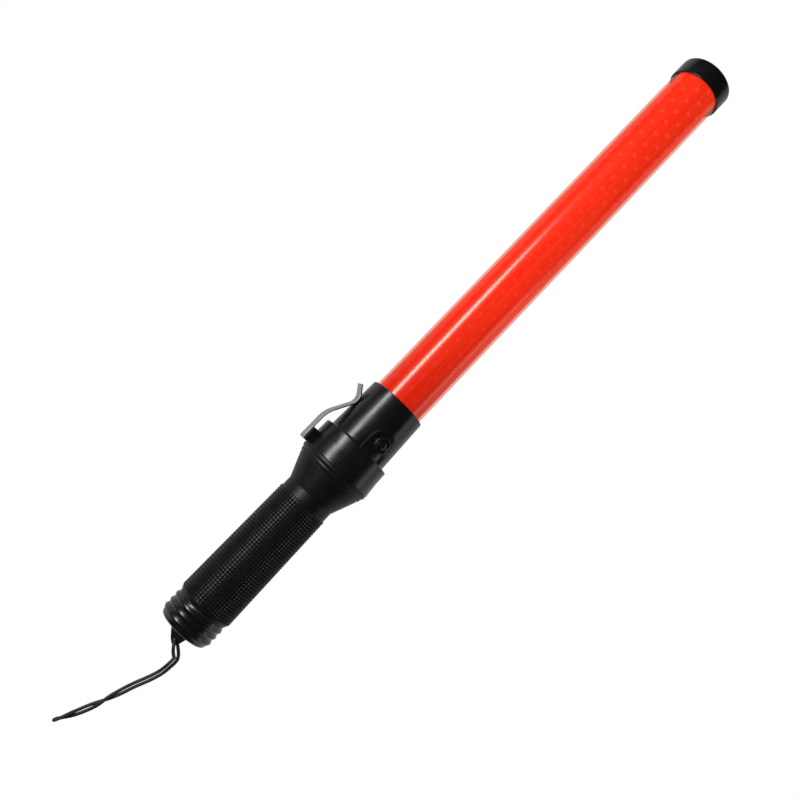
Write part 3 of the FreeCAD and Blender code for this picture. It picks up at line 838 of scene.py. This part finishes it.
def grip():
    """Back bevel, knurled grip, neck, flared cone with the ridges, spigot and bore in one mesh."""
    back = [(HANDLE_START, 18.4, 0), (HANDLE_START, 19.05, 0.2)]
    back += [(KNURL_START - 0.5, GRIP_BACK_R, 0.6), (KNURL_START, GRIP_BACK_R, 0)]
    neck = [(KNURL_END, GRIP_FRONT_R, 0), (KNURL_END + 0.4, GRIP_FRONT_R, 0.3)]
    neck += [(KNURL_END + 0.9, NECK_R, 0.3), (CONE_START, NECK_R, 3.0)]
    neck += [(RIDGE_START - 0.3, CONE_R, 0.2), (RIDGE_START, RIDGE_BACK_R, 0)]
    front = rounded(neck, 6)[:-1] + ridges()
    front += [(SHOULDER_X, SHOULDER_R), (SHOULDER_X, SPIGOT_R), (SPIGOT_X, SPIGOT_R)]
    front += [(SPIGOT_X, FRONT_BORE_R), (BORE_END, FRONT_BORE_R), (BORE_END, BORE_R)]
    front += [(BORE_START, BORE_R), (BORE_START, THREAD_BORE_R)]
    rings = plain_rings(rounded(back)) + knurled_rings() + plain_rings(front)
    return new_piece("grip_shell", mesh_from_rings(rings), grip_plastic, 28.0)


handle = grip()
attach(handle, "baton")
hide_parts("handle_grip")


# Collar, sleeve and switch

COLLAR_BACK = 146.2
COLLAR_WAIST = 157.4
COLLAR_FRONT = 167.0
RIM_R = 28.2
COLLAR_R = 27.1
COLLAR_FRONT_R = 26.9
COLLAR_BORE_R = 21.08
SLEEVE_START = 157.2
SLEEVE_FRONT = 208.0
SLEEVE_BACK_R = 23.1
SLEEVE_FRONT_R = 21.85
SLEEVE_BORE_R = 19.65
SMOOTH = 96 * DETAIL
ROUND = 64

collar_corners = [(COLLAR_BACK, COLLAR_BORE_R, 0), (COLLAR_BACK, RIM_R, 0.7)]
collar_corners += [(COLLAR_WAIST, COLLAR_R, 9.0), (COLLAR_FRONT, COLLAR_FRONT_R, 0.7)]
collar_corners += [(COLLAR_FRONT, COLLAR_BORE_R, 0)]
collar = lathe("collar_shell", rounded(collar_corners, 5), SMOOTH, black_plastic)
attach(collar, "baton")
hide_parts("head_collar")

PAD_R = 10.3
PAD_TOP = 24.1
PAD_STEPS = 40
WELL_R = 6.13


def pad_line(offset, count):
    """Points (x, y) on the pad's outline, arched towards the tip, moved outward by an offset."""
    r = PAD_R + offset
    points = []
    for i in range(count + 1):
        angle = math.pi / 2 - math.pi * i / count
        points.append((BUTTON_X + r * math.cos(angle), r * math.sin(angle)))
    return points + [(COLLAR_FRONT + 0.05, -r), (COLLAR_FRONT + 0.05, r)]


def on_radius(x, y, r):
    """A point of the pad at a distance from the baton's axis."""
    return stood(x, y, math.sqrt(r * r - y * y), BUTTON_TURN)


def raised_pad():
    """The pad as a plate with a rounded top edge, its skirt inside the sleeve's wall."""
    profile = [(0.25, 22.0), (0.25, 22.7), (0.05, 23.0), (0.0, 23.4), (-0.12, 23.8)]
    profile += [(-0.4, PAD_TOP), (-0.9, PAD_TOP)]
    rings = [[on_radius(x, y, r) for x, y in pad_line(offset, PAD_STEPS)] for offset, r in profile]
    return new_piece("pad", mesh_with_ends(rings))


def sleeve():
    """The sleeve with its foot against the collar, the raised pad and the button's well."""
    foot = 1.1
    corners = [(SLEEVE_START, SLEEVE_BORE_R, 0), (SLEEVE_START, SPIGOT_R, 0.2)]
    corners += [(COLLAR_FRONT, SPIGOT_R, 0), (COLLAR_FRONT, SLEEVE_BACK_R + foot, 0)]
    corners += [(COLLAR_FRONT + foot, SLEEVE_BACK_R, 1.2)]
    corners += [(SLEEVE_FRONT, SLEEVE_FRONT_R, 0.5), (SLEEVE_FRONT, SLEEVE_BORE_R, 0)]
    shell = lathe("sleeve_shell", rounded(corners, 4), SMOOTH, black_plastic)
    shell = cut(shell, raised_pad(), "UNION")
    bottom, top = 16, 30
    well = [(0, bottom), (WELL_R, bottom), (WELL_R, top), (0, top)]
    return cut(shell, upright_lathe("well", well, ROUND, None, BUTTON_TURN, BUTTON_X))


sleeve_shell = sleeve()
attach(sleeve_shell, "baton")
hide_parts("head_sleeve")

BEZEL_R = 6.1
BEZEL_BORE_R = 4.2
BEZEL_SEAT = 21.0
BEZEL_TOP = 25.2
bezel_corners = [(BEZEL_BORE_R, BEZEL_SEAT, 0), (BEZEL_R, BEZEL_SEAT, 0), (BEZEL_R, BEZEL_TOP, 0.8)]
bezel_corners += [(BEZEL_BORE_R, BEZEL_TOP, 0.7)]
bezel_outline = rounded(bezel_corners, 6)
bezel = upright_lathe("switch_rim", bezel_outline, ROUND, switch_plastic, BUTTON_TURN, BUTTON_X)
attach(bezel, "baton")
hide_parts("switch_bezel")

BUTTON_R = 4.0
BUTTON_TOP = 25.5
FLANGE_R = 4.55
FLANGE_TOP = 20.8
FLANGE_BOTTOM = 19.5
NUB_R = 1.6
NUB_BOTTOM = 17.45
dome = [(0, BUTTON_TOP, 0), (2.0, BUTTON_TOP - 0.08, 2.0), (BUTTON_R, BUTTON_TOP - 1.1, 1.5)]
dome += [(BUTTON_R, FLANGE_TOP, 0), (FLANGE_R, FLANGE_TOP, 0)]
stem = [(FLANGE_R, FLANGE_BOTTOM), (NUB_R, FLANGE_BOTTOM), (NUB_R, NUB_BOTTOM), (0, NUB_BOTTOM)]
button_outline = rounded(dome, 5) + stem
button = upright_lathe("push_button", button_outline, ROUND, button_rubber, BUTTON_TURN, BUTTON_X)
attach(button, "button")
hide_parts("switch_button")


# Belt clip

CLIP_SEAT = 32.2
CLIP_THICK = 1.1
CLIP_TOP = CLIP_SEAT + CLIP_THICK
CLIP_WIDTH = 11.0
CLIP_START = 146.7
CLIP_BEND_X = 169.5
CLIP_LOW_X = 190.0
CLIP_LOW = 21.5
CLIP_LIP_X = 199.4
CLIP_LIP_RISE = 7.1
SCREW_X = 151.5
SCREW_SPREAD = 3.2
SCREW_HEAD = 0.9
HOLE_R = 1.25
SINK_R = 2.4


def clip_line():
    """Places (x, height) along the middle of the strip: straight, down to the sleeve, lip up."""
    middle = CLIP_SEAT + CLIP_THICK / 2
    corners = [(CLIP_START, middle, 0), (CLIP_BEND_X, middle, 21.5), (CLIP_LOW_X, CLIP_LOW, 8.2)]
    corners += [(CLIP_LIP_X, CLIP_LOW + CLIP_LIP_RISE, 0)]
    return rounded(corners, 14)


def belt_clip():
    """One bent strip of steel with rounded edges and two countersunk holes."""
    line = [Vector((x, z)) for x, z in clip_line()]
    even = []
    for a, b in zip(line, line[1:]):
        steps = max(1, int((b - a).length / 0.8))
        even += [a.lerp(b, i / steps) for i in range(steps)]
    even.append(line[-1])
    half = CLIP_WIDTH / 2
    thick = CLIP_THICK / 2
    edge = 0.25
    section = [(-half, -thick, edge), (half, -thick, edge), (half, thick, edge), (-half, thick, edge)]
    section = rounded(section, 3)
    rings = []
    for i, point in enumerate(even):
        ahead = (even[min(i + 1, len(even) - 1)] - even[max(i - 1, 0)]).normalized()
        up = Vector((-ahead.y, ahead.x))
        ring = []
        for y, offset in section:
            place = point + up * offset
            ring.append(stood(place.x, y, place.y, CLIP_TURN))
        rings.append(ring)
    strip = new_piece("clip_strip", mesh_with_ends(rings), clip_steel, 40.0)
    hole = [(0, CLIP_SEAT - 1), (HOLE_R, CLIP_SEAT - 1), (HOLE_R, CLIP_TOP - SCREW_HEAD)]
    hole += [(SINK_R, CLIP_TOP + 0.02), (SINK_R, CLIP_TOP + 1), (0, CLIP_TOP + 1)]
    for y in (-SCREW_SPREAD, SCREW_SPREAD):
        tool = upright_lathe("sink", hole, 32, None, CLIP_TURN, SCREW_X)
        shift = stood(0, y, 0, CLIP_TURN) - stood(0, 0, 0, CLIP_TURN)
        tool.data.transform(Matrix.Translation(shift))
        strip = cut(strip, tool)
    return strip


strip = belt_clip()
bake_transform(strip)
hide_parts("clip_root", "belt_clip")


# Tip cap, tube and liner

CUP_START = 526.0
CUP_FLOOR = 535.8
CUP_R = 20.85
CUP_BORE_R = 19.58
cup_corners = [(CUP_START, CUP_BORE_R, 0), (CUP_START, CUP_R, 0.45), (LENGTH, CUP_R, 1.8), (LENGTH, 0, 0)]
cup_corners += [(CUP_FLOOR, 0, 0), (CUP_FLOOR, CUP_BORE_R, 0)]
tip = lathe("tip_cup", rounded(cup_corners, 6), SMOOTH, black_plastic)
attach(tip, "baton")
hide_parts("tip_cap")

STUD_R = 1.6
STUD_HEIGHT = 0.35


def liner():
    """A rolled sheet with staggered rows of small raised studs."""
    inner_r = LINER_R - LINER_THICK
    length = LINER_END - LINER_START
    steps = int(length / 0.9) * DETAIL // 2
    outline = [(LINER_START + length * i / steps, LINER_R - STUD_HEIGHT) for i in range(steps + 1)]
    outline += [(LINER_END, inner_r), (LINER_START, inner_r)]

    def studded(x, r, angle):
        if r < inner_r + 0.1:
            return r
        column = angle / (2 * math.pi) * DOT_COLUMNS
        nearest = round(column)
        across = (column - nearest) * DOT_COLUMN_WIDTH
        stagger = 0.5 if nearest % 2 else 0.0
        row = (x - LINER_START) / DOT_PITCH - stagger
        along = (row - round(row)) * DOT_PITCH
        far = math.hypot(across, along) / STUD_R
        return r + STUD_HEIGHT * max(0.0, 1 - far * far)

    return lathe("diamond_liner", outline, 112 * DETAIL, liner_material, studded)


liner_piece = liner()
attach(liner_piece, "baton")
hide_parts("prism_liner")


# Materials of the pieces that keep their own shape

KEPT = {
    "butt_seal": seal_rubber, "battery_spring": screw_steel, "battery_rear": battery_can,
    "battery_front": battery_can, "contact_front": brass, "contact_strip": brass,
    "bulkhead": black_plastic, "collar_seal": seal_rubber, "clip_block": block_plastic,
    "clip_screws": screw_steel, "switch_plunger": switch_plastic, "switch_body": switch_plastic,
    "driver_board": circuit_board, "board_parts": switch_plastic, "lead_wires": wire_jacket,
    "led_board": circuit_board, "leds": led_lens, "led_holder": white_plastic,
    "tube_seal": seal_rubber, "light_tube": tube_material, "tip_reflector": white_plastic,
}
for name, material in KEPT.items():
    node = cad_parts[name]
    node.material_slots[0].link = "OBJECT"
    node.material_slots[0].material = material


# Table, lights and surroundings


# How bright the white table shows in reflections; the light it throws is far dimmer, so that black
# plastic stays black on it
MIRRORED_TABLE = 0.65
TABLE_HALF = 3.0
DIM = 0.022


def make_table():
    mesh = bpy.data.meshes.new("table")
    corners = [(x * TABLE_HALF, y * TABLE_HALF, 0) for x, y in ((-1, -1), (1, -1), (1, 1), (-1, 1))]
    mesh.from_pydata(corners, [], [(0, 1, 2, 3)])
    table = bpy.data.objects.new("table", mesh)
    bpy.context.scene.collection.objects.link(table)
    m = Nodes("table_white")
    m.set(Base_Color=(0.04, 0.04, 0.04, 1), Roughness=0.9, Specular_IOR_Level=0.0)
    white = m.add("ShaderNodeEmission")
    mix = m.add("ShaderNodeMixShader")
    rays = m.add("ShaderNodeLightPath")
    mirrored = m.maths("MULTIPLY", rays.outputs["Is Glossy Ray"], MIRRORED_TABLE)
    m.link(m.maths("MAXIMUM", rays.outputs["Is Camera Ray"], mirrored), mix.inputs["Fac"])
    m.link(m.shader.outputs[0], mix.inputs[1])
    m.link(white.outputs[0], mix.inputs[2])
    m.link(mix.outputs[0], m.output.inputs["Surface"])
    mesh.materials.append(m.material)


def softbox(name, start, end, aim, height, power):
    """A rectangular light, its long side from one place to another."""
    place = (start + end) / 2
    data = bpy.data.lights.new(name, "AREA")
    data.shape = "RECTANGLE"
    data.size = (end - start).length
    data.size_y = height
    data.energy = power
    light = bpy.data.objects.new(name, data)
    bpy.context.scene.collection.objects.link(light)
    right = (end - start).normalized()
    back = place - aim
    back = (back - right * back.dot(right)).normalized()
    up = back.cross(right)
    light.matrix_world = Matrix.Translation(place) @ Matrix((right, up, back)).transposed().to_4x4()


def from_axis(x, distance, angle):
    """A point at a distance from the axis, at an angle from straight up towards the clip's side."""
    turn = math.radians(angle)
    return at(x, distance * math.sin(turn), distance * math.cos(turn))


def make_world():
    """Plain white for the camera, dim for the light it gives."""
    world = bpy.data.worlds.new("world")
    bpy.context.scene.world = world
    world.use_nodes = True
    tree = world.node_tree
    dim = tree.nodes["Background"]
    dim.inputs["Color"].default_value = (DIM, DIM, DIM, 1)
    white = tree.nodes.new("ShaderNodeBackground")
    white.inputs["Color"].default_value = (1, 1, 1, 1)
    rays = tree.nodes.new("ShaderNodeLightPath")
    mix = tree.nodes.new("ShaderNodeMixShader")
    tree.links.new(rays.outputs["Is Camera Ray"], mix.inputs["Fac"])
    tree.links.new(dim.outputs[0], mix.inputs[1])
    tree.links.new(white.outputs[0], mix.inputs[2])
    tree.links.new(mix.outputs[0], tree.nodes["World Output"].inputs["Surface"])


make_table()
key = (from_axis(-200, 900, 29), from_axis(670, 900, 50))
fill = (from_axis(-200, 1100, -84), from_axis(700, 1100, -84))
softbox("key", *key, aim=at(235, 0, 0), height=0.15, power=11.0)
softbox("fill", *fill, aim=at(250, 0, 0), height=0.3, power=1.4)
make_world()
bpy.context.scene.view_settings.view_transform = "Standard"
